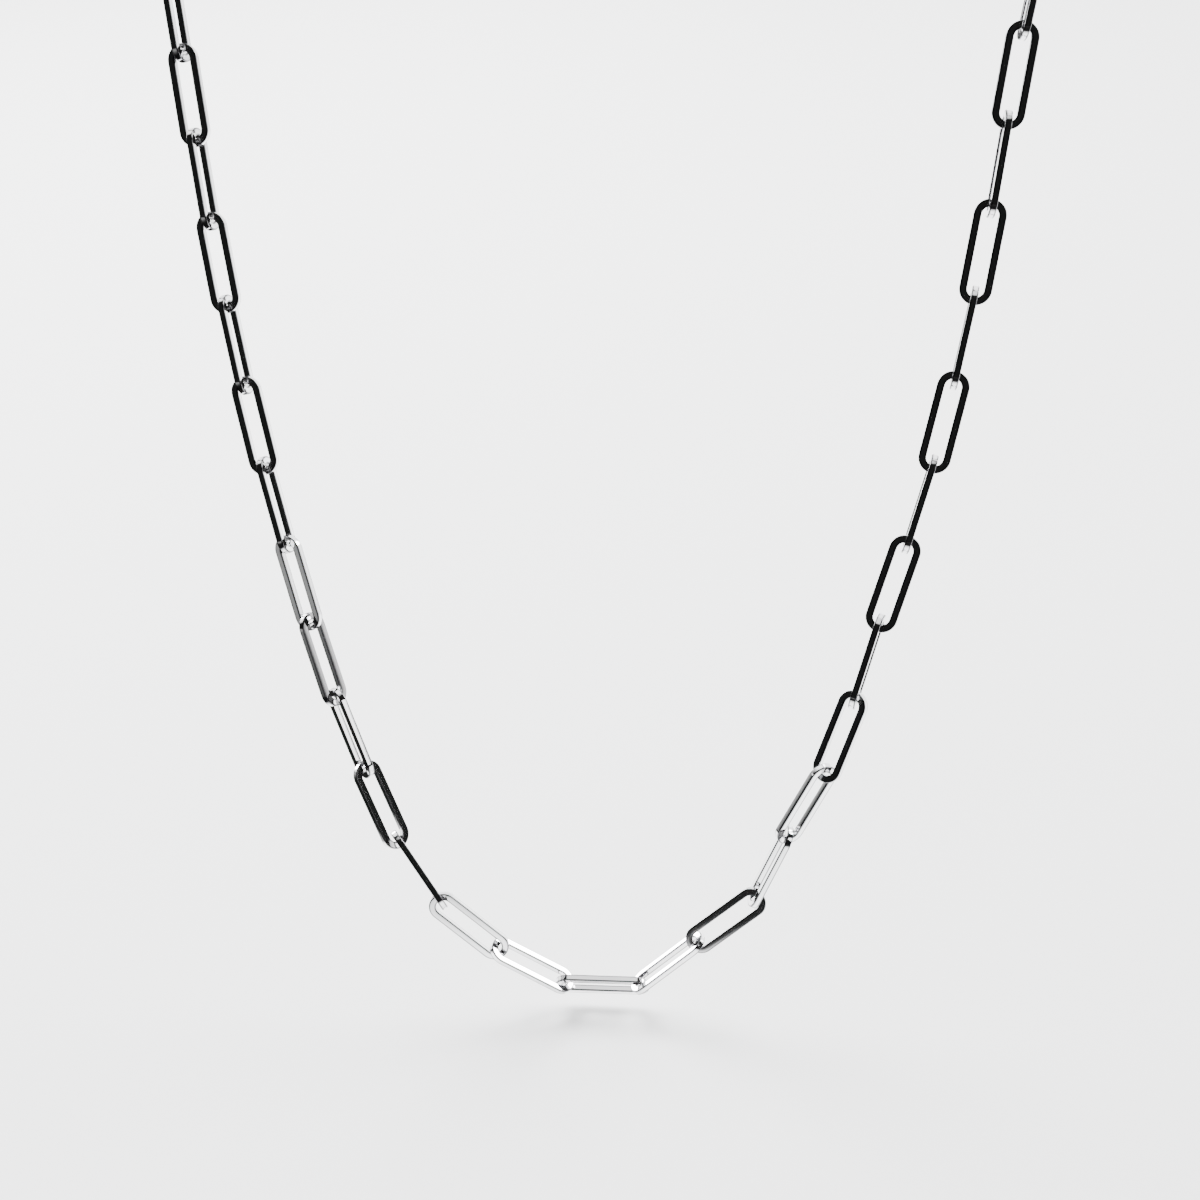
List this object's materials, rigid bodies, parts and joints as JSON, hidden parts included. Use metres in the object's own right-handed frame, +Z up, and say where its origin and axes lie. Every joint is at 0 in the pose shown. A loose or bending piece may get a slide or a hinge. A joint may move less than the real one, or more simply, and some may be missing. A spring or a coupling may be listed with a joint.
{
  "type": "paperclip chain necklace",
  "caption": "Neck chain of long flat-faced links with round ends, each hooked about a quarter turn from the next, hanging in a U as it is worn, with a plain clasp at the nape.",
  "frame": {"origin": "middle of the clasp, where the chain rests on the nape", "axes": "+Z up as worn, the front of the chain faces -Y, +X to the right in the picture's view"},
  "size_m": [0.0979, 0.1006, 0.1431],
  "materials": {
    "polished_silver": "polished silver with faint wear"
  },
  "bodies": {
    "root": {"link_01": "polished_silver", "link_02": "polished_silver", "link_03": "polished_silver", "link_04": "polished_silver", "link_05": "polished_silver", "link_06": "polished_silver", "link_07": "polished_silver", "link_08": "polished_silver", "link_09": "polished_silver", "link_10": "polished_silver", "link_11": "polished_silver", "link_12": "polished_silver", "link_13": "polished_silver", "link_14": "polished_silver", "link_15": "polished_silver", "link_16": "polished_silver", "link_17": "polished_silver", "link_18": "polished_silver", "link_19": "polished_silver", "link_20": "polished_silver", "link_21": "polished_silver", "link_22": "polished_silver", "link_23": "polished_silver", "link_24": "polished_silver", "link_25": "polished_silver", "link_26": "polished_silver", "link_27": "polished_silver", "link_28": "polished_silver", "link_29": "polished_silver", "back_run_left": "polished_silver", "back_run_right": "polished_silver", "clasp": "polished_silver"}
  },
  "joints": []
}
